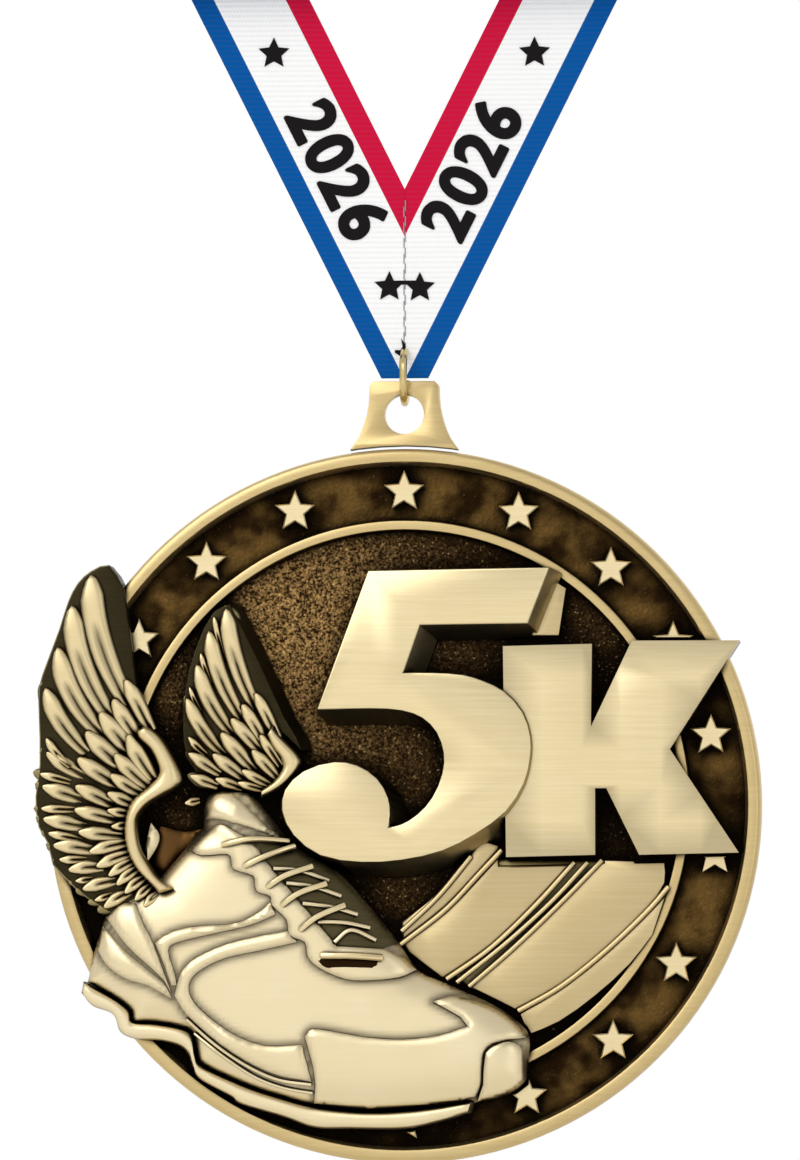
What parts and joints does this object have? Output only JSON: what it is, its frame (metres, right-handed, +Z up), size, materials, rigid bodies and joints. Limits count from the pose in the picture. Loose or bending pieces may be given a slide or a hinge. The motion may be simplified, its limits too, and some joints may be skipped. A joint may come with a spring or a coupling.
{
  "type": "sports finisher medal",
  "caption": "Round antique-gold relief medal with a winged running shoe and a raised numeral, hung by a jump ring from a folded V ribbon.",
  "frame": {"origin": "middle of the folded ribbon length that the medal hangs from", "axes": "+Z up along the hanging medal, face towards -Y, +X to the viewer's right"},
  "size_m": [0.0711, 0.0094, 0.127],
  "materials": {
    "gold": "brushed antique gold plate on a zinc casting",
    "satin_gold": "sand-blasted antique gold plate",
    "patina": "pebbled field with dark brown patina",
    "wire": "plated round wire",
    "ribbon": "grosgrain weave, blue and red edge stripes, black print",
    "paper": "matt paper band"
  },
  "bodies": {
    "ribbon": {"ribbon_left_strap": "ribbon", "ribbon_right_strap": "ribbon", "ribbon_folded_length": "ribbon", "ribbon_band": "paper"},
    "ring": {"jump_ring": "wire"},
    "medal": {"base_plate": "patina", "outer_rim": "gold", "inner_ring": "gold", "hanging_tab": "gold", "star_01": "gold", "star_02": "gold", "star_03": "gold", "star_04": "gold", "star_05": "gold", "star_06": "gold", "star_07": "gold", "star_08": "gold", "star_09": "gold", "star_10": "gold", "star_11": "gold", "star_12": "gold", "star_13": "gold", "numeral_five": "gold", "letter_k": "gold", "trail_inner": "satin_gold", "trail_middle": "satin_gold", "trail_outer": "satin_gold", "trail_lower": "satin_gold", "trail_top": "satin_gold", "shoe_sole": "gold", "shoe_upper": "gold", "shoe_lining": "patina", "shoe_toe_panel": "gold", "shoe_toe_bumper": "gold", "shoe_lace_stay": "gold", "shoe_tongue": "gold", "shoe_side_stripe": "gold", "shoe_heel_stripe": "gold", "shoe_lace_1": "gold", "shoe_lace_2": "gold", "shoe_lace_3": "gold", "shoe_lace_4": "gold", "shoe_lace_5": "gold", "shoe_lace_6": "gold", "near_wing_blade": "gold", "near_wing_bone": "gold", "near_wing_feather_1": "gold", "near_wing_feather_2": "gold", "near_wing_feather_3": "gold", "near_wing_feather_4": "gold", "far_wing_blade": "gold", "far_wing_bone": "gold", "far_wing_feather_1": "gold", "far_wing_feather_2": "gold", "far_wing_feather_3": "gold", "far_wing_feather_4": "gold"}
  },
  "joints": [
    {"name": "ring_swing", "type": "hinge", "parent": "ribbon", "child": "ring", "pos_m": [0, 0, -0.0439], "axis": [1, 0, 0], "range_deg": [-60, 60]},
    {"name": "medal_twist", "type": "hinge", "parent": "ring", "child": "medal", "pos_m": [0, 0, -0.0464], "axis": [0, 0, 1], "range_deg": [-20, 20]}
  ]
}
